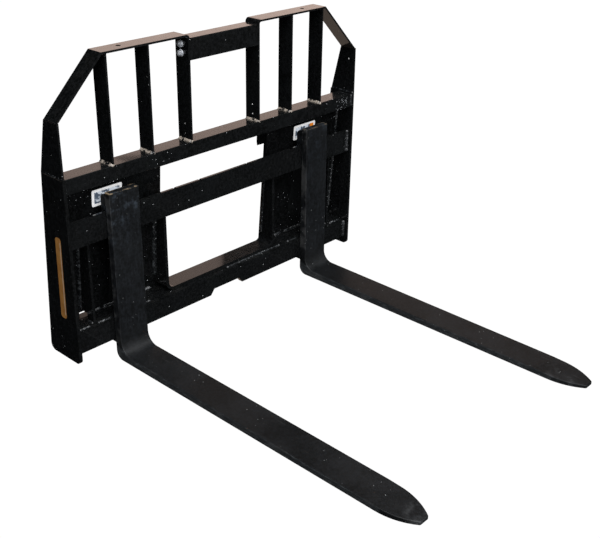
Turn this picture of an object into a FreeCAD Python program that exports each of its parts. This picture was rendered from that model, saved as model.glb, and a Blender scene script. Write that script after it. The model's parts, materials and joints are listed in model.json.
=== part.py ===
import FreeCAD, Part
import math
import os

V = FreeCAD.Vector

# All lengths are in millimetres. Drawing datum: x = 0 on the centre line, y = 0 on the front
# plane of the load guard, z = 0 on the underside of the forks. The finished shapes are moved
# by Y_SHIFT along y when they are written, so the origin is at the bottom centre of the whole.

# overall
HALF_W = 588.0            # outer face of a side plate
PLATE_T = 10.0            # side plate thickness
GUARD_TOP_Z = 911.0       # top of the load guard
BAR_T = 6.0               # thickness of every guard bar
BAR_D = 55.0              # depth of every guard bar, front to back

# side plates and tapered uprights
PLATE_FRONT_Y = -5.0
PLATE_BOT_Z = 42.0
PLATE_TOP_Z = 604.0       # seam between side plate and tapered upright
PLATE_REAR_BOT = (136.0, 50.0)
PLATE_REAR_TOP = (92.0, 604.0)
UPRIGHT_TOP_Z = 755.0
UPRIGHT_REAR_TOP_Y = 56.0
UPRIGHT_T = 6.0           # the uprights are thinner than the side plates
UPRIGHT_HOLE = (22.0, 716.0, 3.6)

# guard bars
ANGLE_TOP_X = 434.4
MID_BARS = (281.0, 420.5)
INNER_X = 137.2
INNER_BEND_R = 12.0
TOP_HOLE_X = 356.0
TOP_HOLE_Y = 30.0
TOP_HOLE_R = 7.0
BRACE_BOLT_Y = 32.0
BRACE_BOLT_Z = (881.0, 855.0)
LOW_HOLE_Y = 29.0
LOW_HOLE_Z = (650.0, 620.0)
BOLT_R = 5.0
BOLT_HOLE_R = 5.5
LOW_HOLE_R = 4.2

# top rail
RAIL_Z0, RAIL_Z1 = 556.0, 600.5
RAIL_WALL = 6.0
INNER_HALF = HALF_W - PLATE_T

# fork bars
FB_Y0, FB_Y1 = 12.0, 28.0
UB_Z0, UB_Z1 = 391.0, 470.0
LB_Z0, LB_Z1 = 65.0, 130.0
NOTCH_PITCH = 99.5
NOTCH_HALF_W = 4.2
NOTCH_DEPTH = 6.0
UB_BEVEL = 8.5            # bevel along the rear top edge of the upper fork bar
REMOVAL_HALF_BOT, REMOVAL_HALF_TOP, REMOVAL_TOP_Z = 69.0, 54.0, 84.0

# attachment plates: slanted front plane, y = AP_Y600 at z = 600
AP_Y600 = 55.0
AP_SLOPE = 0.07505
AP_T = 12.0
AP_TOP_Z = 592.0
AP_X0, AP_X1 = 233.0, INNER_HALF
AP_LEFT_X0 = 211.0        # the left plate reaches further in than the right one
AP_BEND_Z = 128.0
FLANGE_DEG = 58.0
FLANGE_L = 45.0
PIN_SLOT_X = 495.0
PIN_SLOT_HALF = 19.0

# shelf, window frame, ribs
SHELF_Z0, SHELF_Z1 = 124.0, 134.0
WIN_OUT, WIN_T = 235.0, 10.0
WIN_IN_R = 19.0
STIFF_TOP_Z = 445.0
RIB_X, RIB_T = 505.0, 8.0

# centre brace
BR_T = 4.0
BR_Z0, BR_Z1 = 838.0, 900.0
BR_D = 48.0

# forks
FORK_X = 398.0
FORK_W = 101.6
FORK_BACK_Y = 11.5
FORK_FRONT_BOT_Y = -14.5
FORK_FRONT_TOP_Y = -9.5
FORK_TOP_Z = 527.0
TIP_Y = -1077.0
BLADE_HEEL_T = 25.0
BLADE_MID = (-930.0, 17.5)
TIP_T = 11.0
TIP_R = 185.0             # plan radius of the sides of the tip
TIP_CORNER_R = 6.0        # corners of its blunt end
TAPER_Y = -968.0          # where the sides start to close in
IN_HEEL_R, OUT_HEEL_R = 38.0, 27.0
HOOK_Y1 = 38.0
HOOK_INSET = 4.5
HOOK_GAP = 0.5
HOOK_TOP_Z = 516.0
HOOK_LIP_Z = 455.0
LOW_HOOK_Z0, LOW_HOOK_LIP_Z = 50.0, 78.0

# latch
LATCH_Y = 20.0
LATCH_R = 5.5
LATCH_BORE_R = 5.57
LATCH_Z0, LATCH_Z1 = 471.5, 512.5
LATCH_PEG_Z = 500.0
LATCH_PEG_R = 3.0
LATCH_DROP = 6.5
LATCH_TIP_R, LATCH_TIP_Z = 3.2, 478.5

Y_SHIFT = 471.03

os.makedirs("parts", exist_ok=True)


def ap_y(z):
    return AP_Y600 + (600.0 - z) * AP_SLOPE


def box(x0, x1, y0, y1, z0, z1):
    return Part.makeBox(x1 - x0, y1 - y0, z1 - z0, V(x0, y0, z0))


def face_of(points):
    return Part.Face(Part.makePolygon(points + [points[0]]))


def prism_yz(pts, x0, x1):
    return face_of([V(x0, y, z) for y, z in pts]).extrude(V(x1 - x0, 0, 0))


def prism_xz(pts, y0, y1):
    return face_of([V(x, y0, z) for x, z in pts]).extrude(V(0, y1 - y0, 0))


def cyl(p, axis, r, length):
    return Part.makeCylinder(r, length, V(*p), V(*axis))


def mirror(shape):
    return shape.mirror(V(0, 0, 0), V(1, 0, 0))


def one(shape):
    solids = shape.Solids
    return solids[0] if len(solids) == 1 else Part.makeCompound(solids)


def write(name, shape):
    s = shape.copy()
    s.translate(V(0, Y_SHIFT, 0))
    if not s.isValid():
        raise RuntimeError(name + " is not valid")
    if not s.Solids or min(q.Volume for q in s.Solids) <= 0:
        raise RuntimeError(name + " has no volume")
    s.exportStep("parts/" + name + ".step")


def pair(base, shape):
    """Writes the right-hand shape and its mirror image."""
    write("right_" + base, shape)
    write("left_" + base, mirror(shape))


def fillet_edges(shape, r, test):
    edges = [e for e in shape.Edges if test(e)]
    return shape.makeFillet(r, edges) if edges else shape


def along(e, axis):
    if len(e.Vertexes) != 2:
        return False
    d = e.Vertexes[1].Point.sub(e.Vertexes[0].Point)
    n = d.Length
    return n > 1e-6 and abs(getattr(d, axis)) / n > 0.999


def near(e, **at):
    c = e.CenterOfMass
    return all(abs(getattr(c, k) - v) < 0.6 for k, v in at.items())


def bead(p0, p1, u, v, leg):
    """A fillet weld in the corner line p0-p1, with legs along the two faces u and v."""
    a, b = V(*p0), V(*p1)
    u, v = V(*u), V(*v)
    u.normalize()
    v.normalize()
    pu = a.add(u.multiply(leg))
    pv = a.add(v.multiply(leg))
    mid = pu.add(pv).multiply(0.5)
    out = mid.sub(a)
    mid = a.add(out.multiply(1.32))
    w = Part.Wire([
        Part.LineSegment(a, pu).toShape(),
        Part.Arc(pu, mid, pv).toShape(),
        Part.LineSegment(pv, a).toShape(),
    ])
    return Part.Face(w).extrude(b.sub(a))


def both(shapes):
    return shapes + [mirror(s) for s in shapes]


# ---------------------------------------------------------------- side plates
rb, rt = PLATE_REAR_BOT, PLATE_REAR_TOP
slope = (rb[0] - rt[0]) / (rt[1] - rb[1])
rear_at_bottom = rb[0] + (rb[1] - PLATE_BOT_Z) * slope
side = prism_yz([
    (PLATE_FRONT_Y, PLATE_BOT_Z), (rear_at_bottom, PLATE_BOT_Z), rt, (PLATE_FRONT_Y, PLATE_TOP_Z),
], INNER_HALF, HALF_W)
side = fillet_edges(side, 15.0, lambda e: along(e, "x") and near(e, y=PLATE_FRONT_Y, z=PLATE_BOT_Z))
side = fillet_edges(side, 20.0, lambda e: along(e, "x") and near(e, y=rear_at_bottom, z=PLATE_BOT_Z))
pair("side_plate", side)

upright = prism_yz([
    (PLATE_FRONT_Y, PLATE_TOP_Z), rt, (UPRIGHT_REAR_TOP_Y, UPRIGHT_TOP_Z), (-4.0, UPRIGHT_TOP_Z),
], HALF_W - UPRIGHT_T, HALF_W)
upright = upright.cut(cyl((HALF_W - 20, UPRIGHT_HOLE[0], UPRIGHT_HOLE[1]), (1, 0, 0), UPRIGHT_HOLE[2], 30))
pair("guard_upright", upright)

# ---------------------------------------------------------------- guard bars
ang = math.atan2(GUARD_TOP_Z - UPRIGHT_TOP_Z, HALF_W - ANGLE_TOP_X)
off_bot = BAR_T / math.sin(ang)
top_in_z = GUARD_TOP_Z - BAR_T
mitre_x = ANGLE_TOP_X - BAR_T * math.tan(ang / 2.0)
angle_bar = prism_xz([
    (HALF_W, UPRIGHT_TOP_Z), (ANGLE_TOP_X, GUARD_TOP_Z), (mitre_x, top_in_z),
    (HALF_W - off_bot, UPRIGHT_TOP_Z),
], 0.0, BAR_D)
pair("guard_angle_bar", angle_bar)

inner_out = INNER_X - BAR_T / 2.0
inner_in = INNER_X + BAR_T / 2.0
split_z = GUARD_TOP_Z - INNER_BEND_R      # the bent bar is kept as two pieces, parted where the bend ends
bent = prism_xz([
    (ANGLE_TOP_X, GUARD_TOP_Z), (mitre_x, top_in_z), (inner_in, top_in_z), (inner_in, RAIL_Z1),
    (inner_out, RAIL_Z1), (inner_out, GUARD_TOP_Z),
], 0.0, BAR_D)
bent = fillet_edges(bent, INNER_BEND_R, lambda e: along(e, "y") and near(e, x=inner_out, z=GUARD_TOP_Z))
bent = fillet_edges(bent, INNER_BEND_R - BAR_T, lambda e: along(e, "y") and near(e, x=inner_in, z=top_in_z))
bent = bent.cut(cyl((TOP_HOLE_X, TOP_HOLE_Y, top_in_z - 5), (0, 0, 1), TOP_HOLE_R, BAR_T + 10))
for z in BRACE_BOLT_Z:
    bent = bent.cut(cyl((inner_out - 5, BRACE_BOLT_Y, z), (1, 0, 0), BOLT_HOLE_R, BAR_T + 10))
for z in LOW_HOLE_Z:
    bent = bent.cut(cyl((inner_out - 5, LOW_HOLE_Y, z), (1, 0, 0), LOW_HOLE_R, BAR_T + 10))
pair("guard_top_bar", one(bent.common(box(0, 600, -10, 70, split_z, GUARD_TOP_Z + 10))))
pair("guard_inner_upright", one(bent.common(box(0, 600, -10, 70, RAIL_Z1 - 10, split_z))))

for name, x in (("guard_inner_bar", MID_BARS[0]), ("guard_outer_bar", MID_BARS[1])):
    pair(name, box(x - BAR_T / 2, x + BAR_T / 2, 0, BAR_D, RAIL_Z1, top_in_z))

# ---------------------------------------------------------------- top rail
rail = box(-INNER_HALF, INNER_HALF, 0, BAR_D, RAIL_Z0, RAIL_Z1)
rail = rail.makeFillet(1.5, [e for e in rail.Edges if along(e, "x")])
bore = box(-INNER_HALF, INNER_HALF, RAIL_WALL, BAR_D - RAIL_WALL, RAIL_Z0 + RAIL_WALL, RAIL_Z1 - RAIL_WALL)
write("top_rail", one(rail.cut(bore)))

# ---------------------------------------------------------------- fork bars
ub = box(-INNER_HALF, INNER_HALF, FB_Y0, FB_Y1, UB_Z0, UB_Z1)
ub = ub.cut(prism_yz([
    (FB_Y1 - UB_BEVEL, UB_Z1), (FB_Y1, UB_Z1 - UB_BEVEL), (FB_Y1 + 1, UB_Z1 - UB_BEVEL), (FB_Y1 + 1, UB_Z1 + 1),
    (FB_Y1 - UB_BEVEL, UB_Z1 + 1),
], -INNER_HALF - 1, INNER_HALF + 1))
for i in (-5, -4, -3, -2, -1, 1, 2, 3, 4, 5):
    x = i * NOTCH_PITCH
    n = box(x - NOTCH_HALF_W, x + NOTCH_HALF_W, FB_Y0 - 1, FB_Y1 + 1, UB_Z1 - NOTCH_DEPTH, UB_Z1 + 1)
    n = n.makeFillet(2.0, [e for e in n.Edges if along(e, "y") and e.CenterOfMass.z < UB_Z1 - 5])
    ub = ub.cut(n)
write("upper_fork_bar", one(ub))

lb = box(-INNER_HALF, INNER_HALF, FB_Y0, FB_Y1, LB_Z0, LB_Z1)
lb = lb.cut(prism_xz([
    (-REMOVAL_HALF_BOT - 0.8, LB_Z0 - 1), (REMOVAL_HALF_BOT + 0.8, LB_Z0 - 1),
    (REMOVAL_HALF_TOP, REMOVAL_TOP_Z), (-REMOVAL_HALF_TOP, REMOVAL_TOP_Z),
], FB_Y0 - 1, FB_Y1 + 1))
write("lower_fork_bar", one(lb))

# ---------------------------------------------------------------- attachment plates
th = math.atan(AP_SLOPE)
fl = math.radians(FLANGE_DEG)
f0 = (ap_y(AP_BEND_Z), AP_BEND_Z)
fd = (math.sin(fl), -math.cos(fl))
fn = (math.cos(fl), math.sin(fl))
f1 = (f0[0] + fd[0] * FLANGE_L, f0[1] + fd[1] * FLANGE_L)
f2 = (f1[0] + fn[0] * AP_T, f1[1] + fn[1] * AP_T)
back0 = AP_T / math.cos(th)


def ap_back(z):
    return ap_y(z) + back0


# where the back of the plate meets the upper face of the flange
g0 = (f0[0] + fn[0] * AP_T, f0[1] + fn[1] * AP_T)
t = 0.0
for _ in range(60):
    yy, zz = g0[0] - fd[0] * t, g0[1] - fd[1] * t
    t += (yy - ap_back(zz)) / (fd[0])
bend = (g0[0] - fd[0] * t, g0[1] - fd[1] * t)
hi, lo = 148.0, 131.0
s0 = (f0[0] + fd[0] * 20.0 - fn[0] * 4, f0[1] + fd[1] * 20.0 - fn[1] * 4)
s1 = (f0[0] + fd[0] * 39.0 - fn[0] * 4, f0[1] + fd[1] * 39.0 - fn[1] * 4)
k = AP_T + 8
END_T = 10.0


def attach_plate(x_in):
    plate = prism_yz([
        (ap_y(AP_TOP_Z), AP_TOP_Z), f0, f1, f2, bend, (ap_back(AP_TOP_Z), AP_TOP_Z),
    ], x_in, AP_X1)
    # opening above the bend and lock pin slot in the flange
    plate = plate.cut(prism_yz([
        (ap_y(hi) - 4, hi), (ap_y(lo) - 4, lo), (ap_back(lo) + 8, lo), (ap_back(hi) + 8, hi),
    ], PIN_SLOT_X - PIN_SLOT_HALF, PIN_SLOT_X + PIN_SLOT_HALF))
    return one(plate.cut(prism_yz([
        s0, s1, (s1[0] + fn[0] * k, s1[1] + fn[1] * k), (s0[0] + fn[0] * k, s0[1] + fn[1] * k),
    ], PIN_SLOT_X - PIN_SLOT_HALF, PIN_SLOT_X + PIN_SLOT_HALF)))


def attach_lip(x_in):
    return prism_yz([
        (ap_back(488.0), 488.0), (ap_back(512.0), 512.0), (108.5, 488.0), (106.5, 473.5), (101.0, 475.6),
    ], x_in + END_T, AP_X1)


def gussets(x_in):
    out = [prism_yz([
        (ap_back(488.0), 488.0), (ap_back(582.0), 582.0), (ap_back(582.0) + 10, 582.0), (107.0, 520.0),
        (108.5, 488.0), (106.5, 473.5),
    ], x_in, x_in + END_T)]
    for x in (320.0, 415.0, 510.0):
        out.append(prism_yz([
            (ap_back(512.4), 512.4), (ap_back(575.0), 575.0), (ap_back(575.0) + 6, 575.0), (99.0, 494.6),
        ], x - 4, x + 4))
    return out


write("right_attach_plate", attach_plate(AP_X0))
write("left_attach_plate", mirror(attach_plate(AP_LEFT_X0)))
write("right_attach_lip", attach_lip(AP_X0))
write("left_attach_lip", mirror(attach_lip(AP_LEFT_X0)))
write("lip_gussets", Part.makeCompound(gussets(AP_X0) + [mirror(g) for g in gussets(AP_LEFT_X0)]))

# ---------------------------------------------------------------- shelf, window frame, ribs
shelf = prism_yz([
    (FB_Y1, SHELF_Z0), (ap_y(SHELF_Z0), SHELF_Z0), (ap_y(SHELF_Z1), SHELF_Z1), (FB_Y1, SHELF_Z1),
], -INNER_HALF, INNER_HALF)
write("shelf_plate", shelf)

win_in = WIN_OUT - WIN_T
w_out = box(-WIN_OUT, WIN_OUT, FB_Y1, 110, SHELF_Z1, STIFF_TOP_Z)
w_out = w_out.makeFillet(WIN_IN_R + WIN_T, [e for e in w_out.Edges if along(e, "y") and e.CenterOfMass.z < SHELF_Z1 + 1])
w_in = box(-win_in, win_in, FB_Y1 - 5, 120, SHELF_Z1 + WIN_T, STIFF_TOP_Z + 60)
w_in = w_in.makeFillet(WIN_IN_R, [e for e in w_in.Edges if along(e, "y") and e.CenterOfMass.z < SHELF_Z1 + WIN_T + 1])
window = w_out.cut(w_in)
window = window.cut(prism_yz([
    (ap_y(500.0), 500.0), (ap_y(SHELF_Z1 - 5), SHELF_Z1 - 5), (160, SHELF_Z1 - 5), (160, 500.0),
], -300, 300))
write("window_frame", one(window))

rib = prism_yz([
    (FB_Y1, SHELF_Z1), (ap_y(SHELF_Z1), SHELF_Z1), (ap_y(STIFF_TOP_Z), STIFF_TOP_Z), (FB_Y1, STIFF_TOP_Z),
], RIB_X - RIB_T / 2, RIB_X + RIB_T / 2)
# the rib is relieved where it stands over the pin opening
rib = rib.cut(box(RIB_X - 20, RIB_X + 20, 56, 120, SHELF_Z1 - 1, 158))
pair("plate_rib", one(rib))

# ---------------------------------------------------------------- centre brace
bx = inner_out
brace = box(-bx, bx, 0, BR_T, BR_Z0, BR_Z1)
brace = brace.fuse(box(-bx, bx, 0, BR_D, BR_Z1 - BR_T, BR_Z1))
brace = brace.fuse(box(-bx, -bx + BR_T, 0, BR_D, BR_Z0, BR_Z1))
brace = brace.fuse(box(bx - BR_T, bx, 0, BR_D, BR_Z0, BR_Z1))
brace = brace.removeSplitter()
brace = brace.makeFillet(3.0, [e for e in brace.Edges if along(e, "x") and near(e, y=0, z=BR_Z1)])
for s in (-1, 1):
    brace = brace.cut(box(min(s * bx, s * (bx - 5)), max(s * bx, s * (bx - 5)), -1, 5.5, BR_Z1 - 5.5, BR_Z1 + 1))
    for z in BRACE_BOLT_Z:
        brace = brace.cut(cyl((s * bx - 8, BRACE_BOLT_Y, z), (1, 0, 0), BOLT_HOLE_R, 16))
write("centre_brace", one(brace))


def hexagon(x, y, z, af, depth, sign):
    r = af / math.sqrt(3.0)
    pts = [V(x, y + r * math.cos(math.radians(60 * i + 15)), z + r * math.sin(math.radians(60 * i + 15))) for i in range(6)]
    return face_of(pts).extrude(V(sign * depth, 0, 0))


def chamfered_hex(x, y, z, af, depth, sign):
    h = hexagon(x, y, z, af, depth, sign)
    r = af / math.sqrt(3.0)
    cone = Part.makeCone(r + 3.2, r - 0.9, depth, V(x, y, z), V(sign, 0, 0))
    return h.common(cone)


bolts, nuts = [], []
face_in = inner_out - BR_T
for z in BRACE_BOLT_Z:
    head = chamfered_hex(face_in, BRACE_BOLT_Y, z, 16.0, 6.4, -1)
    shank = cyl((face_in - 1, BRACE_BOLT_Y, z), (1, 0, 0), BOLT_R, BR_T + BAR_T + 13.0)
    end = shank.Edges
    shank = shank.makeChamfer(0.8, [e for e in end if abs(e.CenterOfMass.x - (face_in - 1 + BR_T + BAR_T + 13.0)) < 0.1])
    bolts.append(head.fuse(shank).removeSplitter())
    flange = Part.makeCone(10.8, 8.6, 2.6, V(inner_in, BRACE_BOLT_Y, z), V(1, 0, 0))
    hexn = chamfered_hex(inner_in, BRACE_BOLT_Y, z, 15.0, 9.0, 1)
    nut = flange.fuse(hexn).removeSplitter()
    nut = nut.cut(cyl((inner_in - 1, BRACE_BOLT_Y, z), (1, 0, 0), BOLT_R, 12))
    nuts.append(nut)
write("brace_bolts", Part.makeCompound(both(bolts)))
write("brace_nuts", Part.makeCompound(both(nuts)))

# ---------------------------------------------------------------- welds on the guard
gw = []
rail_block = box(-INNER_HALF, INNER_HALF, 0, BAR_D, RAIL_Z0, RAIL_Z1)
for x in (INNER_X, MID_BARS[0], MID_BARS[1]):
    bar_block = box(x - BAR_T / 2, x + BAR_T / 2, 0, BAR_D, RAIL_Z1, top_in_z)
    for s in (-1, 1):
        xx = x + s * BAR_T / 2
        gw.append(bead((xx, 1.0, RAIL_Z1), (xx, 54, RAIL_Z1), (s, 0, 0), (0, 0, 1), 7.0))
    blob = Part.makeSphere(4.6, V(x, 0.0, RAIL_Z1 + 0.5)).common(box(x - 10, x + 10, -10, 0, RAIL_Z1 - 10, RAIL_Z1 + 10))
    gw.append(one(blob))
for x in MID_BARS:
    for s in (-1, 1):
        xx = x + s * BAR_T / 2
        if s == 1 and xx > mitre_x - 6:
            continue
        gw.append(bead((xx, 2, top_in_z), (xx, 53, top_in_z), (s, 0, 0), (0, 0, -1), 3.5))
corner = cyl((HALF_W - 0.6, 1.0, UPRIGHT_TOP_Z), (0, 1, 0), 1.5, 53.0)
corner = corner.cut(upright).cut(angle_bar)
keep = [q for q in corner.Solids if q.CenterOfMass.x > HALF_W - 0.6]
gw += keep
gw.append(bead((HALF_W - UPRIGHT_T, 1, UPRIGHT_TOP_Z), (HALF_W - UPRIGHT_T, 54, UPRIGHT_TOP_Z), (0, 0, -1), (-1, 0, 0), 2.0))
write("guard_welds", Part.makeCompound(both(gw)))

# ---------------------------------------------------------------- welds on the side plates
pw = []
pw.append(prism_xz([
    (HALF_W, 599.5), (HALF_W + 0.7, 601.0), (HALF_W + 1.0, 604.0), (HALF_W + 0.7, 607.0), (HALF_W, 608.5),
], -3.5, 90.5))
pw.append(bead((HALF_W - UPRIGHT_T, -3.5, PLATE_TOP_Z), (HALF_W - UPRIGHT_T, 90.0, PLATE_TOP_Z), (-1, 0, 0), (0, 0, 1), 3.9))
X = INNER_HALF
pw.append(bead((X, 0, RAIL_Z0 + 3), (X, 0, RAIL_Z1 - 3), (-1, 0, 0), (0, -1, 0), 4.0))
pw.append(bead((X, FB_Y0, UB_Z0 + 2), (X, FB_Y0, UB_Z1 - 1), (-1, 0, 0), (0, -1, 0), 8.0))
pw.append(bead((X, FB_Y0, LB_Z0 + 2), (X, FB_Y0, LB_Z1 - 1), (-1, 0, 0), (0, -1, 0), 8.0))
pw.append(bead((X, ap_y(165.0), 165.0), (X, ap_y(540.0), 540.0), (-1, 0, 0), (0, -1, -AP_SLOPE), 6.0))
write("side_plate_welds", Part.makeCompound(both(pw)))

# ---------------------------------------------------------------- welds on the shelf, frame, ribs
sw = []
for x0, x1 in ((250.0, 330.0), (345.0, 430.0), (440.0, 474.0), (520.0, 570.0)):
    sw.append(bead((x0, ap_y(SHELF_Z1), SHELF_Z1), (x1, ap_y(SHELF_Z1), SHELF_Z1), (0, -1, 0), (0, -AP_SLOPE, 1), 7.0))
for x0, x1 in ((300.0, 380.0), (440.0, 494.0), (520.0, 570.0)):
    sw.append(bead((x0, FB_Y1, LB_Z1), (x1, FB_Y1, LB_Z1), (0, -1, 0), (0, 0, 1), 4.0))
sw_front = bead((15.0, FB_Y1, LB_Z1), (262.0, FB_Y1, LB_Z1), (0, -1, 0), (0, 0, 1), 3.0)
write("shelf_welds", Part.makeCompound(both(sw) + [sw_front]))

z0, z1 = SHELF_Z1 + 40.0, STIFF_TOP_Z - 4
outer_bead = bead((WIN_OUT, ap_y(z0), z0), (WIN_OUT, ap_y(z1), z1), (1, 0, 0), (0, -1, -AP_SLOPE), 7.0)
bar_bead = bead((WIN_OUT, FB_Y1, UB_Z0 + 6), (WIN_OUT, FB_Y1, z1), (1, 0, 0), (0, 1, 0), 5.0)
ww = both([outer_bead, bar_bead])
ww.append(bead((AP_X0, ap_y(z0), z0), (AP_X0, ap_y(z1), z1), (-1, 0, 0), (0, 1, AP_SLOPE), 7.5))
ww.append(bead((-win_in, ap_y(z0), z0), (-win_in, ap_y(z1), z1), (1, 0, 0), (0, -1, -AP_SLOPE), 7.0))
write("window_welds", Part.makeCompound(ww))

rw = []
for s in (-1, 1):
    xx = RIB_X + s * RIB_T / 2
    rw.append(bead((xx, ap_y(160.0), 160.0), (xx, ap_y(z1), z1), (s, 0, 0), (0, -1, -AP_SLOPE), 7.0))
    rw.append(bead((xx, FB_Y1 + 3, SHELF_Z1), (xx, 54, SHELF_Z1), (s, 0, 0), (0, 0, 1), 5.0))
write("rib_welds", Part.makeCompound(both(rw)))

# ---------------------------------------------------------------- labels and stripes


def label(x0, x1):
    w, h, tt = x1 - x0, 50.0, 0.4
    b = Part.makeBox(w, tt, h, V(-w / 2, -tt, -h / 2))
    b = b.makeFillet(5.0, [e for e in b.Edges if along(e, "y")])
    b.rotate(V(0, 0, 0), V(1, 0, 0), math.degrees(th))
    zc = 494.0
    b.translate(V((x0 + x1) / 2, ap_y(zc), zc))
    return b


write("left_plate_label", label(-456.0, -352.0))
write("right_plate_label", label(362.0, 466.0))

stripe = prism_yz([(40.0, 174.5), (65.0, 174.5), (57.0, 426.0), (32.0, 426.0)], HALF_W, HALF_W + 0.35)
stripe = stripe.makeFillet(10.0, [e for e in stripe.Edges if along(e, "x")])
pair("side_stripe", stripe)

# ---------------------------------------------------------------- forks


def make_fork():
    hw = FORK_W / 2.0
    prof = [
        (FORK_BACK_Y, FORK_TOP_Z), (FORK_BACK_Y, 0.0), (TIP_Y, 0.0), (TIP_Y, TIP_T), BLADE_MID,
        (-62.0, BLADE_HEEL_T), (FORK_FRONT_BOT_Y, BLADE_HEEL_T), (FORK_FRONT_TOP_Y, FORK_TOP_Z),
    ]
    body = prism_yz(prof, FORK_X - hw, FORK_X + hw)
    body = fillet_edges(body, OUT_HEEL_R, lambda e: along(e, "x") and near(e, y=FORK_BACK_Y, z=0))
    body = fillet_edges(body, IN_HEEL_R, lambda e: along(e, "x") and near(e, y=FORK_FRONT_BOT_Y, z=BLADE_HEEL_T))
    body = fillet_edges(body, 2.0, lambda e: along(e, "x") and near(e, y=FORK_FRONT_TOP_Y, z=FORK_TOP_Z))
    # rounded plan of the tip: an arc down each side to a short blunt end
    x0, x1 = FORK_X - hw, FORK_X + hw
    run = TAPER_Y - TIP_Y

    def inset_at(s):
        return TIP_R - math.sqrt(TIP_R * TIP_R - s * s)

    pts = {}
    for side, sx in (("a", 1.0), ("b", -1.0)):
        for key, s in (("start", 0.0), ("mid", run / 2), ("end", run)):
            pts[side, key] = V(FORK_X + sx * (hw - inset_at(s)), TAPER_Y - s, -5)
    wire = Part.Wire([
        Part.Arc(pts["a", "start"], pts["a", "mid"], pts["a", "end"]).toShape(),
        Part.makeLine(pts["a", "end"], pts["b", "end"]),
        Part.Arc(pts["b", "end"], pts["b", "mid"], pts["b", "start"]).toShape(),
        Part.makeLine(pts["b", "start"], V(x0, 60, -5)),
        Part.makeLine(V(x0, 60, -5), V(x1, 60, -5)),
        Part.makeLine(V(x1, 60, -5), pts["a", "start"]),
    ])
    plan = Part.Face(wire).extrude(V(0, 0, 600))
    plan = fillet_edges(plan, TIP_CORNER_R, lambda e: along(e, "z") and abs(e.CenterOfMass.y - TIP_Y) < 1)
    return body.common(plan)


def soften(fork, r):
    edges = []
    for e in fork.Edges:
        c = e.CenterOfMass
        on_side = abs(abs(c.x - FORK_X) - FORK_W / 2) < 0.2
        if on_side and not along(e, "x"):
            edges.append(e)
    return fork.makeFillet(r, edges)


fork = make_fork()
try:
    soft = soften(fork, 2.5)
    if soft.isValid() and soft.Volume > 0:
        fork = soft
except Exception as err:
    print("edges left sharp:", err)
pair("fork", one(fork))

# upper hook with the latch bore and the slot for the latch peg
hw = FORK_W / 2.0
hook = prism_yz([
    (FORK_BACK_Y, UB_Z1 + HOOK_GAP), (FB_Y1 + HOOK_GAP, UB_Z1 + HOOK_GAP), (FB_Y1 + HOOK_GAP, HOOK_LIP_Z),
    (HOOK_Y1, HOOK_LIP_Z), (HOOK_Y1, HOOK_TOP_Z - 8.0), (HOOK_Y1 - 8.0, HOOK_TOP_Z), (FORK_BACK_Y, HOOK_TOP_Z),
], FORK_X - hw + HOOK_INSET, FORK_X + hw - HOOK_INSET)
hook = hook.cut(cyl((FORK_X, LATCH_Y, UB_Z1 - 5), (0, 0, 1), LATCH_BORE_R, 80))
slot_h0 = LATCH_PEG_Z - LATCH_DROP - LATCH_PEG_R - 1.2
slot_h1 = LATCH_PEG_Z + LATCH_PEG_R + 1.2
hook = hook.cut(box(FORK_X - LATCH_PEG_R - 0.6, FORK_X + LATCH_PEG_R + 0.6, LATCH_Y, HOOK_Y1 + 5, slot_h0, slot_h1))
pair("upper_hook", one(hook))

low = prism_yz([
    (FORK_BACK_Y, LOW_HOOK_Z0), (HOOK_Y1 - 6.0, LOW_HOOK_Z0), (HOOK_Y1, LOW_HOOK_Z0 + 6.0), (HOOK_Y1, LOW_HOOK_LIP_Z),
    (FB_Y1 + HOOK_GAP, LOW_HOOK_LIP_Z), (FB_Y1 + HOOK_GAP, LB_Z0 - HOOK_GAP), (FORK_BACK_Y, LB_Z0 - HOOK_GAP),
], FORK_X - hw + HOOK_INSET, FORK_X + hw - HOOK_INSET)
pair("lower_hook", low)

inset = hw - HOOK_INSET
hwelds = [
    bead((FORK_X - inset + 2, FORK_BACK_Y, HOOK_TOP_Z), (FORK_X + inset - 2, FORK_BACK_Y, HOOK_TOP_Z), (0, 1, 0), (0, 0, 1), 6.0),
    bead((FORK_X - inset + 2, FORK_BACK_Y, LOW_HOOK_Z0), (FORK_X + inset - 2, FORK_BACK_Y, LOW_HOOK_Z0), (0, 1, 0), (0, 0, -1), 6.0),
]
for s in (-1, 1):
    hwelds.append(bead((FORK_X + s * inset, FORK_BACK_Y, UB_Z1 + 3), (FORK_X + s * inset, FORK_BACK_Y, HOOK_TOP_Z - 0.5), (s, 0, 0), (0, 1, 0), 4.2))
    hwelds.append(bead((FORK_X + s * inset, FORK_BACK_Y, LOW_HOOK_Z0 + 0.5), (FORK_X + s * inset, FORK_BACK_Y, LB_Z0 - 1.5), (s, 0, 0), (0, 1, 0), 4.2))
hwelds = Part.makeCompound(hwelds)
# keep the bead clear of the latch bore
hwelds = hwelds.cut(cyl((FORK_X, LATCH_Y, 470), (0, 0, 1), LATCH_BORE_R + 3.0, 80))
pair("hook_welds", Part.makeCompound(hwelds.Solids))

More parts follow.
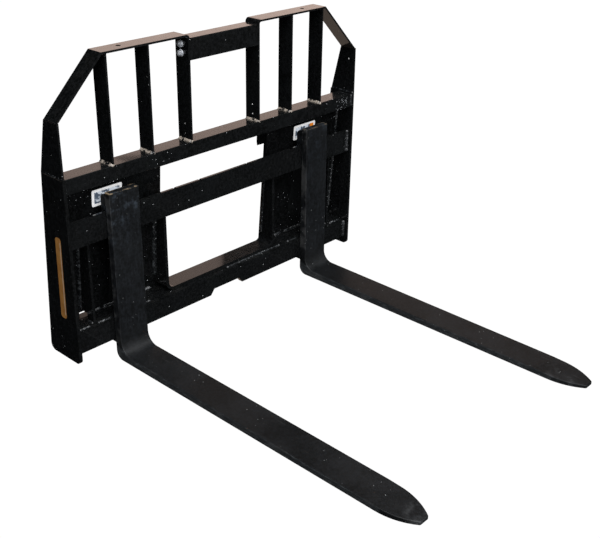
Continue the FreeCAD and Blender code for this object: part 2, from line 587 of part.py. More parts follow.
# latch pin and its peg
pin = cyl((FORK_X, LATCH_Y, LATCH_TIP_Z), (0, 0, 1), LATCH_R, LATCH_Z1 - LATCH_TIP_Z)
tip = cyl((FORK_X, LATCH_Y, LATCH_Z0), (0, 0, 1), LATCH_TIP_R, LATCH_TIP_Z - LATCH_Z0 + 1.0)
tip = tip.makeChamfer(0.8, [e for e in tip.Edges if abs(e.CenterOfMass.z - LATCH_Z0) < 0.1])
pin = pin.fuse(tip).removeSplitter()
pin = pin.cut(cyl((FORK_X, LATCH_Y + 1.0, LATCH_PEG_Z), (0, 1, 0), LATCH_PEG_R, 20))
pair("latch_pin", one(pin))
peg = cyl((FORK_X, LATCH_Y + 1.0, LATCH_PEG_Z), (0, 1, 0), LATCH_PEG_R, 24.0)
knob = cyl((FORK_X, 41.0, LATCH_PEG_Z), (0, 1, 0), 7.5, 10.0)
knob = knob.makeFillet(1.5, knob.Edges[:2] if len(knob.Edges) > 2 else knob.Edges)
pair("latch_handle", one(peg.fuse(knob).removeSplitter()))
print("written", len([f for f in os.listdir("parts") if f.endswith(".step")]))
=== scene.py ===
import bmesh
import bpy
import json
import math
import random
from mathutils import Matrix, Vector
from mathutils.bvhtree import BVHTree


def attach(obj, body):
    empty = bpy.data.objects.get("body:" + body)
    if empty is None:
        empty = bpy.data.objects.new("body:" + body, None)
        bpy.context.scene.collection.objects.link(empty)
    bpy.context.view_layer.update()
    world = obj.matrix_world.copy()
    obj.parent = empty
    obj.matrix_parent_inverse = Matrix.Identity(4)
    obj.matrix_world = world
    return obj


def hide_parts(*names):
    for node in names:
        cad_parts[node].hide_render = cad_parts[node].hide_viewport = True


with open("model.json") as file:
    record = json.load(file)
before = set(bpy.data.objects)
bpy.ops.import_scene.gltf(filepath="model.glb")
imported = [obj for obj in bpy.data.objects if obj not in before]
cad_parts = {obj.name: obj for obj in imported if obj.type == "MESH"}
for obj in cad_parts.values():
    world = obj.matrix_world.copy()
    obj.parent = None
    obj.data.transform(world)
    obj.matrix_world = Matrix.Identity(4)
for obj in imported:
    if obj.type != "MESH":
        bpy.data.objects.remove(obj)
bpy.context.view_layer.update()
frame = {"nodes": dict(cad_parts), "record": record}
nodes = frame["nodes"]
scene = bpy.context.scene
scene.view_settings.view_transform = "Standard"
scene.view_settings.look = "None"
scene.view_settings.exposure = 0.0
scene.view_settings.gamma = 1.0

YS = 0.47103


# ------------------------------------------------------------------ camera
def make_camera():
    yaw, pitch, roll = CAM[3], CAM[4], CAM[5]
    fwd = Vector((-math.sin(yaw) * math.cos(pitch), math.cos(yaw) * math.cos(pitch), math.sin(pitch)))
    right = Vector((math.cos(yaw), math.sin(yaw), 0.0))
    up = right.cross(fwd)
    r2 = right * math.cos(roll) + up * math.sin(roll)
    u2 = -right * math.sin(roll) + up * math.cos(roll)
    cam = bpy.data.cameras.new("camera")
    cam.sensor_fit = "HORIZONTAL"
    cam.sensor_width = 36.0
    cam.lens = CAM[6] / 600.0 * 36.0
    cam.clip_end = 200.0
    ob = bpy.data.objects.new("camera", cam)
    m = Matrix((r2, u2, -fwd)).transposed().to_4x4()
    m.translation = Vector((CAM[0] / 1000.0, CAM[1] / 1000.0 + YS, CAM[2] / 1000.0))
    ob.matrix_world = m
    scene.collection.objects.link(ob)
    scene.camera = ob


CAM = (-1886.4, -2025.0, 1517.5, -0.832263, -0.461794, 0.019927, 960.26)
make_camera()


# ------------------------------------------------------------------ node helpers
class Tree:
    """A short way to build a shader tree."""

    def __init__(self, tree):
        self.t = tree
        self.t.nodes.clear()

    def node(self, kind, **attrs):
        n = self.t.nodes.new(kind)
        for k, v in attrs.items():
            setattr(n, k, v)
        return n

    def put(self, sock, v):
        if isinstance(v, bpy.types.NodeSocket):
            self.t.links.new(v, sock)
        elif v is not None:
            sock.default_value = v

    def coord(self):
        return self.node("ShaderNodeTexCoord").outputs["Object"]

    def mapping(self, vec, scale=(1, 1, 1), loc=(0, 0, 0), rot=(0, 0, 0)):
        n = self.node("ShaderNodeMapping")
        self.put(n.inputs["Vector"], vec)
        n.inputs["Scale"].default_value = scale
        n.inputs["Location"].default_value = loc
        n.inputs["Rotation"].default_value = rot
        return n.outputs[0]

    def noise(self, vec, scale, detail=3.0, rough=0.55, dist=0.0):
        n = self.node("ShaderNodeTexNoise")
        self.put(n.inputs["Vector"], vec)
        n.inputs["Scale"].default_value = scale
        n.inputs["Detail"].default_value = detail
        n.inputs["Roughness"].default_value = rough
        n.inputs["Distortion"].default_value = dist
        return n.outputs["Fac"]

    def voronoi(self, vec, scale, feature="F1", out="Distance", rand=1.0):
        n = self.node("ShaderNodeTexVoronoi", feature=feature)
        self.put(n.inputs["Vector"], vec)
        n.inputs["Scale"].default_value = scale
        n.inputs["Randomness"].default_value = rand
        return n.outputs[out]

    def math(self, op, a, b=None, c=None, clamp=False):
        n = self.node("ShaderNodeMath", operation=op, use_clamp=clamp)
        self.put(n.inputs[0], a)
        if b is not None:
            self.put(n.inputs[1], b)
        if c is not None:
            self.put(n.inputs[2], c)
        return n.outputs[0]

    def dot(self, v, d):
        n = self.node("ShaderNodeVectorMath", operation="DOT_PRODUCT")
        self.put(n.inputs[0], v)
        n.inputs[1].default_value = d
        return n.outputs["Value"]

    def remap(self, v, a, b, c=0.0, d=1.0, smooth=True):
        n = self.node("ShaderNodeMapRange", interpolation_type="SMOOTHSTEP" if smooth else "LINEAR")
        self.put(n.inputs["Value"], v)
        n.inputs["From Min"].default_value = a
        n.inputs["From Max"].default_value = b
        n.inputs["To Min"].default_value = c
        n.inputs["To Max"].default_value = d
        return n.outputs[0]

    def mix(self, f, a, b):
        n = self.node("ShaderNodeMix", data_type="RGBA")
        self.put(n.inputs[0], f)
        self.put(n.inputs[6], a)
        self.put(n.inputs[7], b)
        return n.outputs[2]

    def xyz(self, v):
        n = self.node("ShaderNodeSeparateXYZ")
        self.put(n.inputs[0], v)
        return n.outputs[0], n.outputs[1], n.outputs[2]

    def bump(self, h, strength, dist, normal=None):
        n = self.node("ShaderNodeBump")
        self.put(n.inputs["Height"], h)
        n.inputs["Strength"].default_value = strength
        n.inputs["Distance"].default_value = dist
        if normal is not None:
            self.put(n.inputs["Normal"], normal)
        return n.outputs[0]

    def finish(self, color, rough, normal=None, metallic=0.0, coat=0.0, coat_rough=0.03, spec=0.5, coat_normal=None):
        p = self.node("ShaderNodeBsdfPrincipled")
        self.put(p.inputs["Base Color"], color)
        self.put(p.inputs["Roughness"], rough)
        if normal is not None:
            self.put(p.inputs["Normal"], normal)
        self.put(p.inputs["Metallic"], metallic)
        p.inputs["Coat Weight"].default_value = coat
        p.inputs["Coat Roughness"].default_value = coat_rough
        p.inputs["Specular IOR Level"].default_value = spec
        if coat_normal is not None:
            self.put(p.inputs["Coat Normal"], coat_normal)
        o = self.node("ShaderNodeOutputMaterial")
        self.t.links.new(p.outputs[0], o.inputs["Surface"])
        return p


def new_mat(name):
    m = bpy.data.materials.new(name)
    m.use_nodes = True
    return m, Tree(m.node_tree)


def rgb(r, g, b):
    """sRGB 0-255 to linear, with alpha."""
    f = lambda c: (c / 255.0) / 12.92 if c <= 10.3 else ((c / 255.0 + 0.055) / 1.055) ** 2.4
    return (f(r), f(g), f(b), 1.0)


# ------------------------------------------------------------------ materials
def flecks(t, c, scale, size, share, mask=None):
    """Small round flecks in a random share of the cells of a grid."""
    dist = t.voronoi(c, scale)
    n = t.node("ShaderNodeTexVoronoi", feature="F1")
    t.put(n.inputs["Vector"], c)
    n.inputs["Scale"].default_value = scale
    pick = t.node("ShaderNodeSeparateColor")
    t.put(pick.inputs[0], n.outputs["Color"])
    on = t.math("LESS_THAN", pick.outputs[0], share if mask is None else t.math("MULTIPLY", mask, share))
    rad = t.math("MULTIPLY_ADD", pick.outputs[1], size * 0.7, size * 0.45)
    wob = t.math("MULTIPLY", t.math("SUBTRACT", t.noise(c, scale * 5.0, 1.0, 0.5), 0.5), size * 0.9)
    d = t.math("SUBTRACT", t.math("ADD", dist, wob), rad)
    return t.math("MULTIPLY", t.remap(d, size * 0.18, -size * 0.18), on)


def gloss_paint():
    """Thick glossy black coat: orange peel, mottling, faint dust on top faces, small pale flecks."""
    m, t = new_mat("gloss_black_paint")
    c = t.coord()
    peel = t.noise(c, 150.0, 2.0, 0.5)
    fine = t.noise(c, 520.0, 2.0, 0.6)
    wave = t.noise(c, 14.0, 2.0, 0.5)
    h = t.math("ADD", t.math("MULTIPLY", peel, 0.45), t.math("MULTIPLY", fine, 0.14))
    h = t.math("ADD", h, t.math("MULTIPLY", wave, 0.7))
    nrm = t.bump(h, 0.22, 0.0005)
    cnrm = t.bump(t.math("ADD", peel, t.math("MULTIPLY", wave, 0.8)), 0.018, 0.0004)
    mot = t.remap(t.noise(c, 120.0, 4.0, 0.7), 0.38, 0.66)
    big = t.remap(t.noise(c, 9.0, 4.0, 0.6), 0.42, 0.72)
    up = t.xyz(t.node("ShaderNodeNewGeometry").outputs["Normal"])[2]
    dust = t.math("MULTIPLY", t.remap(t.noise(c, 34.0, 5.0, 0.65), 0.46, 0.78), t.remap(up, 0.1, 0.9, 0.25, 1.0))
    col = t.mix(mot, rgb(9, 10, 10), rgb(27, 28, 29))
    col = t.mix(t.math("MULTIPLY", big, 0.5), col, rgb(26, 28, 29))
    col = t.mix(t.math("MULTIPLY", dust, 0.22), col, rgb(62, 60, 57))
    zone = t.remap(t.noise(c, 6.5, 3.0, 0.6), 0.44, 0.64, 0.12, 1.0)
    f1 = flecks(t, c, 95.0, 0.14, 0.085, zone)
    f2 = flecks(t, c, 44.0, 0.07, 0.06, zone)
    fl = t.math("MAXIMUM", f1, f2)
    col = t.mix(t.math("MULTIPLY", fl, 0.85), col, rgb(196, 198, 198))
    rough = t.math("ADD", t.math("MULTIPLY", dust, 0.2), 0.26)
    rough = t.math("ADD", rough, t.math("MULTIPLY", fl, 0.3))
    t.finish(col, rough, nrm, coat=1.0, coat_rough=0.03, spec=0.06, coat_normal=cnrm)
    return m


def weld_paint():
    """The same coat over rough weld."""
    m, t = new_mat("weld_black_paint")
    c = t.coord()
    h = t.math("ADD", t.math("MULTIPLY", t.noise(c, 300.0, 3.0, 0.6), 0.6), t.math("MULTIPLY", t.voronoi(c, 210.0), 0.5))
    nrm = t.bump(h, 0.45, 0.0007)
    dust = t.remap(t.noise(c, 90.0, 4.0, 0.6), 0.45, 0.7)
    col = t.mix(t.math("MULTIPLY", dust, 0.5), rgb(18, 20, 22), rgb(92, 96, 99))
    bare = t.remap(t.noise(c, 170.0, 3.0, 0.65), 0.60, 0.68)
    bare = t.math("MULTIPLY", bare, t.remap(t.noise(c, 16.0, 3.0, 0.6), 0.46, 0.58))
    col = t.mix(t.math("MULTIPLY", bare, 0.85), col, rgb(205, 208, 210))
    t.finish(col, t.math("ADD", t.math("MULTIPLY", dust, 0.2), 0.2), nrm, coat=1.0, coat_rough=0.09, spec=0.5, coat_normal=nrm)
    return m


def guard_weld_tan_reflection_paint():
    """Weld at the feet of the guard bars, with a painted tan reflection of the warm wall along most of it."""
    m, t = new_mat("guard_weld_tan_reflection_paint")
    c = t.coord()
    h = t.math("ADD", t.math("MULTIPLY", t.noise(c, 260.0, 2.0, 0.6), 0.5), t.math("MULTIPLY", t.voronoi(c, 160.0), 0.3))
    nrm = t.bump(h, 0.3, 0.0005)
    # painted reflection: the bare mask lays a tan sheen of the warm wall along the bead near z 604 mm, standing in for
    # a reflection rather than bare metal
    bare = t.remap(t.noise(c, 75.0, 3.0, 0.6), 0.42, 0.52)
    z = t.xyz(c)[2]
    bare = t.math("MULTIPLY", bare, t.remap(t.math("ABSOLUTE", t.math("SUBTRACT", z, 0.604)), 0.009, 0.007))
    fine = t.noise(c, 420.0, 3.0, 0.6)
    # tan colours of the painted reflection
    tan_reflection = t.mix(fine, rgb(150, 136, 120), rgb(226, 214, 200))
    col = t.mix(t.math("MULTIPLY", bare, 0.92), rgb(22, 23, 25), tan_reflection)
    t.finish(col, t.math("MULTIPLY_ADD", bare, 0.12, 0.2), nrm, coat=1.0, coat_rough=0.1, spec=0.5, coat_normal=nrm)
    return m


def spatter_glint_mat():
    """Beads of weld spatter, coloured pale as a painted glint in place of the small highlights the beads would catch.
    """
    m, t = new_mat("spatter_painted_glint")
    c = t.coord()
    n = t.remap(t.noise(c, 60.0, 3.0, 0.6), 0.35, 0.65)
    # the pale colour is a painted glint, not the colour of the spatter itself
    col = t.mix(n, rgb(120, 124, 128), rgb(228, 231, 234))
    nrm = t.bump(t.noise(c, 900.0, 2.0, 0.5), 0.3, 0.0002)
    t.finish(col, t.remap(n, 0.0, 1.0, 0.45, 0.25), nrm, metallic=0.0, coat=1.0, coat_rough=0.1, spec=0.6)
    return m


def fork_paint():
    """Satin black on forged steel: mill texture, rub marks along the blade, rust specks, worn edges, and a painted tan
    highlight along the top edges of the shanks.
    """
    m, t = new_mat("fork_satin_paint")
    c = t.coord()
    x, y, z = t.xyz(c)
    ax = t.math("ABSOLUTE", t.math("SUBTRACT", t.math("ABSOLUTE", x), 0.398))
    mill = t.noise(c, 200.0, 4.0, 0.6)
    dents = t.noise(c, 30.0, 3.0, 0.5)
    scr = t.noise(t.mapping(c, (420.0, 7.0, 420.0), rot=(0, 0, 0.05)), 1.0, 2.0, 0.5)
    scr = t.remap(scr, 0.69, 0.76)
    blade = t.remap(z, 0.05, 0.03)
    scr = t.math("MULTIPLY", t.math("MULTIPLY", scr, blade), t.remap(t.noise(c, 5.0, 2.0, 0.5), 0.5, 0.62))
    h = t.math("ADD", t.math("MULTIPLY", mill, 0.6), t.math("MULTIPLY", dents, 0.8))
    h = t.math("SUBTRACT", h, t.math("MULTIPLY", scr, 0.4))
    nrm = t.bump(h, 0.4, 0.0007)
    cloud = t.remap(t.noise(c, 7.0, 5.0, 0.6), 0.38, 0.68)
    grain = t.remap(t.noise(c, 130.0, 4.0, 0.7), 0.36, 0.68)
    shank = t.remap(z, 0.06, 0.12)
    col = t.mix(cloud, rgb(15, 16, 16), rgb(27, 28, 29))
    col = t.mix(t.math("MULTIPLY", shank, 0.6), col, rgb(9, 10, 11))
    col = t.mix(t.math("MULTIPLY", grain, t.remap(z, 0.06, 0.12, 0.35, 0.5)), col, rgb(42, 45, 49))
    # chalky clouds on the upper shank, more on the left fork than on the right one
    chalk = t.remap(t.noise(t.mapping(c, (1, 1, 1), (0.31, 0.0, 0.07)), 26.0, 5.0, 0.72), 0.50, 0.66)
    high = t.math("MULTIPLY", t.remap(z, 0.30, 0.52), t.remap(x, 0.2, -0.2, 0.35, 1.0))
    col = t.mix(t.math("MULTIPLY", t.math("MULTIPLY", chalk, high), 0.72), col, rgb(70, 78, 87))
    streak = t.remap(t.noise(t.mapping(c, (240.0, 240.0, 22.0)), 1.0, 4.0, 0.7), 0.50, 0.70)
    col = t.mix(t.math("MULTIPLY", t.math("MULTIPLY", streak, shank), 0.30), col, rgb(62, 66, 72))
    # painted highlight: a tan line along the rims of the shank top, in place of the warm wall reflected in the rounded
    # top edge
    top = t.remap(z, 0.5235, 0.5262)
    dull = t.remap(t.noise(c, 11.0, 4.0, 0.65), 0.52, 0.70)
    tipz = t.remap(y, YS - 0.90, YS - 1.03)
    col = t.mix(t.math("MULTIPLY", t.math("MULTIPLY", dull, tipz), 0.45), col, rgb(92, 94, 96))
    # rims of the shank top that carry the painted highlight
    top_rim_highlight_mask = t.math("MAXIMUM", t.remap(ax, 0.0440, 0.0475), t.math("MAXIMUM", t.remap(y, YS - 0.0045, YS - 0.0075), t.remap(y, YS + 0.0065, YS + 0.0095)))
    top = t.math("MULTIPLY", top, t.math("MULTIPLY", t.remap(t.noise(c, 60.0, 4.0, 0.7), 0.46, 0.58), t.math("MULTIPLY", top_rim_highlight_mask, t.remap(x, 0.2, -0.2, 0.35, 1.0))))
    col = t.mix(t.math("MULTIPLY", top, 0.9), col, rgb(150, 132, 106))
    col = t.mix(t.math("MULTIPLY", scr, 0.5), col, rgb(104, 104, 102))
    edge = t.math("ADD", ax, t.math("MULTIPLY", t.math("SUBTRACT", t.noise(c, 55.0, 3.0, 0.6), 0.5), 0.005))
    edge = t.remap(edge, 0.0488, 0.0503)
    worn = t.remap(t.noise(c, 14.0, 4.0, 0.7), 0.46, 0.62)
    low = t.math("MULTIPLY", t.remap(z, 0.0042, 0.0022), t.remap(t.math("ABSOLUTE", t.math("SUBTRACT", ax, 0.0508)), 0.004, 0.001))
    flank = t.math("MULTIPLY", t.remap(ax, 0.0499, 0.0507), blade)
    fl = t.remap(t.noise(t.mapping(c, (150.0, 26.0, 150.0)), 1.0, 5.0, 0.72), 0.50, 0.66)
    col = t.mix(t.math("MULTIPLY", t.math("MULTIPLY_ADD", fl, 0.5, 0.25), flank), col, rgb(96, 100, 103))
    rub = t.math("MAXIMUM", t.math("MULTIPLY", edge, t.remap(z, 0.08, 0.12, 0.30, 0.55)), low)
    col = t.mix(t.math("MULTIPLY", t.math("MULTIPLY", rub, worn), 0.65), col, rgb(104, 104, 103))
    rust = t.remap(t.voronoi(c, 48.0), 0.085, 0.04)
    rk = t.remap(t.noise(c, 13.0, 3.0, 0.6), 0.57, 0.65)
    rust = t.math("MULTIPLY", t.math("MULTIPLY", rust, rk), t.remap(z, 0.14, 0.03))
    col = t.mix(t.math("MULTIPLY", rust, 0.7), col, rgb(126, 84, 54))
    zone = t.remap(t.noise(c, 8.0, 3.0, 0.6), 0.42, 0.64, 0.15, 1.0)
    fl = t.math("MAXIMUM", flecks(t, c, 90.0, 0.13, 0.06, zone), flecks(t, c, 170.0, 0.2, 0.05, zone))
    col = t.mix(t.math("MULTIPLY", fl, 0.8), col, rgb(170, 172, 172))
    rough = t.math("ADD", t.math("MULTIPLY", cloud, 0.08), 0.40)
    rough = t.math("SUBTRACT", rough, t.math("MULTIPLY", rub, 0.06))
    t.finish(col, rough, nrm, spec=0.34)
    return m


def zinc():
    m, t = new_mat("bright_zinc")
    c = t.coord()
    n1 = t.noise(c, 300.0, 3.0, 0.6)
    n2 = t.noise(c, 60.0, 3.0, 0.6)
    col = t.mix(n2, rgb(206, 212, 222), rgb(246, 247, 248))
    nrm = t.bump(n1, 0.3, 0.0004)
    t.finish(col, t.remap(n2, 0.3, 0.7, 0.30, 0.46), nrm, metallic=0.35)
    return m


def label_glow_mat():
    """A plain white sticker with a pale panel, and an orange corner block on the right one; nothing printed. It also
    glows faintly with its own colour, as painted light.
    """
    m, t = new_mat("plain_label_glowing")
    c = t.coord()
    x, y, z = t.xyz(c)
    ax = t.math("MINIMUM", t.math("ABSOLUTE", t.math("SUBTRACT", x, -0.404)), t.math("ABSOLUTE", t.math("SUBTRACT", x, 0.414)))
    inner = t.math("MULTIPLY", t.remap(ax, 0.0440, 0.0432), t.remap(t.math("ABSOLUTE", t.math("SUBTRACT", z, 0.494)), 0.0178, 0.0170))
    grime = t.noise(c, 40.0, 5.0, 0.65)
    col = t.mix(inner, rgb(255, 255, 255), t.mix(t.remap(t.noise(c, 55.0, 3.0, 0.6), 0.42, 0.50), rgb(84, 96, 112), rgb(226, 234, 244)))
    sx = t.remap(t.math("ABSOLUTE", t.math("SUBTRACT", x, 0.449)), 0.0095, 0.0090)
    block = t.math("MULTIPLY", sx, t.remap(t.math("ABSOLUTE", t.math("SUBTRACT", z, 0.5055)), 0.0075, 0.0070))
    col = t.mix(block, col, rgb(240, 140, 40))
    scuff = t.remap(t.noise(c, 95.0, 4.0, 0.7), 0.60, 0.68)
    scuff = t.math("MULTIPLY", scuff, t.remap(x, -0.430, -0.400, 0.1, 0.8))
    col = t.mix(t.remap(grime, 0.55, 0.9, 0.0, 0.15), col, rgb(170, 174, 178))
    col = t.mix(t.math("MULTIPLY", t.math("MULTIPLY", scuff, inner), 0.8), col, rgb(48, 58, 70))
    nrm = t.bump(t.noise(c, 50.0, 3.0, 0.5), 0.15, 0.0004)
    p = t.finish(col, t.remap(grime, 0.3, 0.8, 0.3, 0.5), nrm, spec=0.5)
    # painted light: the sticker glows with its own colour though it is no lamp
    t.put(p.inputs["Emission Color"], col)
    p.inputs["Emission Strength"].default_value = 0.45
    return m


def stripe_mat():
    """A plain gold vinyl stripe with one thin pale line."""
    m, t = new_mat("plain_gold_stripe")
    c = t.coord()
    x, y, z = t.xyz(c)
    mid = t.math("ADD", YS + 0.0525, t.math("MULTIPLY", t.math("SUBTRACT", z, 0.1745), -0.0318))
    off = t.math("SUBTRACT", y, mid)
    line = t.remap(t.math("ABSOLUTE", t.math("ADD", off, 0.0088)), 0.0012, 0.0009)
    ends = t.math("MULTIPLY", t.remap(z, 0.186, 0.188), t.remap(z, 0.414, 0.412))
    n = t.noise(c, 35.0, 5.0, 0.6)
    col = t.mix(t.remap(n, 0.35, 0.7), rgb(196, 140, 76), rgb(170, 112, 54))
    col = t.mix(t.math("MULTIPLY", line, ends), col, rgb(238, 228, 206))
    col = t.mix(t.remap(t.noise(c, 90.0, 4.0, 0.7), 0.66, 0.8, 0.0, 0.5), col, rgb(84, 62, 38))
    nrm = t.bump(t.noise(c, 60.0, 3.0, 0.5), 0.12, 0.0004)
    t.finish(col, t.remap(n, 0.3, 0.7, 0.3, 0.45), nrm, spec=0.5)
    return m


MAT = {
    "gloss_black": gloss_paint(),
    "weld_black": weld_paint(),
    "fork_black": fork_paint(),
    "zinc": zinc(),
    "label_white": label_glow_mat(),
    "stripe_gold": stripe_mat(),
}
GUARD_WELD_REFLECTION = guard_weld_tan_reflection_paint()
slot_of = {s["node"]: s["material_slot"] for s in frame["record"]["subparts"]}
body_of = {n: b for b, members in frame["record"]["behaviour"]["bodies"].items() for n in members}
for name, ob in nodes.items():
    mat = MAT[slot_of[name]]
    if ob.material_slots:
        for s in ob.material_slots:
            s.material = mat
    else:
        ob.data.materials.append(mat)


# ------------------------------------------------------------------ weld beads
# Each bead: two ends of its corner line, the directions of its two legs, and the leg length, in mm.
BEADS = {
    "guard_welds": [
        ((134.2, 1, 600.5), (134.2, 54, 600.5), (-1, 0, 0), (0, 0, 1), 7.0),
        ((140.2, 1, 600.5), (140.2, 54, 600.5), (1, 0, 0), (0, 0, 1), 7.0),
        ((278, 1, 600.5), (278, 54, 600.5), (-1, 0, 0), (0, 0, 1), 7.0),
        ((284, 1, 600.5), (284, 54, 600.5), (1, 0, 0), (0, 0, 1), 7.0),
        ((417.5, 1, 600.5), (417.5, 54, 600.5), (-1, 0, 0), (0, 0, 1), 7.0),
        ((423.5, 1, 600.5), (423.5, 54, 600.5), (1, 0, 0), (0, 0, 1), 7.0),
        ((278, 2, 905), (278, 53, 905), (-1, 0, 0), (0, 0, -1), 3.5),
        ((284, 2, 905), (284, 53, 905), (1, 0, 0), (0, 0, -1), 3.5),
        ((417.5, 2, 905), (417.5, 53, 905), (-1, 0, 0), (0, 0, -1), 3.5),
        ((423.5, 2, 905), (423.5, 53, 905), (1, 0, 0), (0, 0, -1), 3.5),
        ((582, 1, 755), (582, 54, 755), (0, 0, -1), (-1, 0, 0), 2.0),
    ],
    "side_plate_welds": [
        ((582, -3.5, 604), (582, 90, 604), (-1, 0, 0), (0, 0, 1), 3.9),
        ((578, 0, 559), (578, 0, 597.5), (-1, 0, 0), (0, -1, 0), 4.0),
        ((578, 12, 393), (578, 12, 469), (-1, 0, 0), (0, -1, 0), 8.0),
        ((578, 12, 67), (578, 12, 129), (-1, 0, 0), (0, -1, 0), 8.0),
        ((578, 87.65, 165), (578, 59.5, 540), (-1, 0, 0), (0, -1, -0.08), 6.0),
    ],
    "shelf_welds": [
        ((250, 89.97, 134), (330, 89.97, 134), (0, -1, 0), (0, -0.08, 1), 7.0),
        ((345, 89.97, 134), (430, 89.97, 134), (0, -1, 0), (0, -0.08, 1), 7.0),
        ((440, 89.97, 134), (474, 89.97, 134), (0, -1, 0), (0, -0.08, 1), 7.0),
        ((520, 89.97, 134), (570, 89.97, 134), (0, -1, 0), (0, -0.08, 1), 7.0),
        ((300, 28, 130), (380, 28, 130), (0, -1, 0), (0, 0, 1), 4.0),
        ((440, 28, 130), (494, 28, 130), (0, -1, 0), (0, 0, 1), 4.0),
        ((520, 28, 130), (570, 28, 130), (0, -1, 0), (0, 0, 1), 4.0),
    ],
    "window_welds": [
        ((235, 86.97, 174), (235, 66.93, 441), (1, 0, 0), (0, -1, -0.08), 7.0),
        ((235, 28, 397), (235, 28, 441), (1, 0, 0), (0, 1, 0), 5.0),
        ((233, 86.97, 174), (233, 66.93, 441), (-1, 0, 0), (0, 1, 0.08), 7.5),
        ((-225, 86.97, 174), (-225, 66.93, 441), (1, 0, 0), (0, -1, -0.08), 7.0),
    ],
    "rib_welds": [
        ((501, 88.02, 160), (501, 66.93, 441), (-1, 0, 0), (0, -1, -0.08), 7.0),
        ((501, 31, 134), (501, 54, 134), (-1, 0, 0), (0, 0, 1), 5.0),
        ((509, 88.02, 160), (509, 66.93, 441), (1, 0, 0), (0, -1, -0.08), 7.0),
        ((509, 31, 134), (509, 54, 134), (1, 0, 0), (0, 0, 1), 5.0),
    ],
    "right_hook_welds": [
        ((353.7, 11.5, 516), (442.3, 11.5, 516), (0, 1, 0), (0, 0, 1), 6.0),
        ((353.7, 11.5, 50), (442.3, 11.5, 50), (0, 1, 0), (0, 0, -1), 6.0),
        ((351.7, 11.5, 473), (351.7, 11.5, 515.5), (-1, 0, 0), (0, 1, 0), 4.2),
        ((351.7, 11.5, 50.5), (351.7, 11.5, 63.5), (-1, 0, 0), (0, 1, 0), 4.2),
        ((444.3, 11.5, 473), (444.3, 11.5, 515.5), (1, 0, 0), (0, 1, 0), 4.2),
        ((444.3, 11.5, 50.5), (444.3, 11.5, 63.5), (1, 0, 0), (0, 1, 0), 4.2),
    ],
}


def mm(p):
    return Vector((p[0] / 1000.0, p[1] / 1000.0 + YS, p[2] / 1000.0))


class Piece:
    """Collects vertices and faces for one mesh piece."""

    def __init__(self):
        self.v, self.f = [], []

    def tube(self, rings, cap0, cap1):
        """Closed skin over rings of equal size, with a point at each end."""
        base = len(self.v)
        k = len(rings[0])
        for r in rings:
            self.v.extend(r)
        for i in range(len(rings) - 1):
            for j in range(k):
                a = base + i * k + j
                b = base + i * k + (j + 1) % k
                self.f.append((a, b, b + k, a + k))
        for cap, row, flip in ((cap0, 0, True), (cap1, len(rings) - 1, False)):
            self.v.append(cap)
            c = len(self.v) - 1
            for j in range(k):
                a = base + row * k + j
                b = base + row * k + (j + 1) % k
                self.f.append((b, a, c) if flip else (a, b, c))

    def ball(self, at, n, r, rng, flat=0.75):
        """A lumpy half-sunk ball on a surface with normal n."""
        n = n.normalized()
        a = n.orthogonal().normalized()
        b = n.cross(a)
        turn = rng.uniform(0, 6.28)
        sx = rng.uniform(0.8, 1.25)
        rings = []
        segs = 7
        for lat in (-0.35, 0.15, 0.65):
            rr = math.sqrt(max(0.0, 1 - lat * lat)) * r
            ring = []
            for j in range(segs):
                an = turn + 2 * math.pi * j / segs
                q = rng.uniform(0.9, 1.1)
                ring.append(at + a * (math.cos(an) * rr * sx * q) + b * (math.sin(an) * rr / sx * q) + n * (lat * r * flat))
            rings.append(ring)
        self.tube(rings, at - n * (0.6 * r * flat), at + n * (r * flat))

    def make(self, name, body, mat, slot, replaces=None):
        me = bpy.data.meshes.new(name)
        me.from_pydata([tuple(p) for p in self.v], [], self.f)
        me.validate()
        bm = bmesh.new()
        bm.from_mesh(me)
        bmesh.ops.recalc_face_normals(bm, faces=bm.faces)
        bm.to_mesh(me)
        bm.free()
        me.shade_smooth()
        me.materials.append(mat)
        ob = bpy.data.objects.new(name, me)
        scene.collection.objects.link(ob)
        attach(ob, body)
        if replaces:
            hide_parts(replaces)
        return ob


def smooth_noise(rng, n, lo, hi, step):
    """A smooth random row of n values between lo and hi."""
    keys = [rng.uniform(lo, hi) for _ in range(n // step + 3)]
    out = []
    for i in range(n):
        q = i / step
        k = int(q)
        f = q - k
        f = f * f * (3 - 2 * f)
        out.append(keys[k] * (1 - f) + keys[k + 1] * f)
    return out


def profile_run(piece, a, b, point, rng, pitch=0.0044):
    """Sweeps a rippled weld section; point(angle index, size, ripple) gives the section."""
    run = (b - a).length
    n = max(7, int(run / 0.0011))
    size = smooth_noise(rng, n + 1, 0.86, 1.07, 6)
    drift = smooth_noise(rng, n + 1, -0.5, 0.5, 9)
    k = 9
    rings = []
    for i in range(n + 1):
        s = run * i / n
        e = min(1.0, s / 0.0026, (run - s) / 0.0026)
        taper = math.sqrt(max(0.0, 1 - (1 - e) ** 2)) * 0.88 + 0.12
        ring = []
        for j in range(k):
            lag = 0.0017 * math.sin(math.pi * j / (k - 1))
            ph = ((s + lag) / pitch + drift[i]) % 1.0
            ripple = 1.0 - 0.15 * ph
            ring.append(point(j / (k - 1), size[i] * taper, ripple, s))
        ring.append(point(None, taper, 1.0, s))
        rings.append(ring)
    t = (b - a).normalized()
    c0 = sum(rings[0], Vector()) / len(rings[0]) - t * 0.0004
    c1 = sum(rings[-1], Vector()) / len(rings[-1]) + t * 0.0004
    piece.tube(rings, c0, c1)


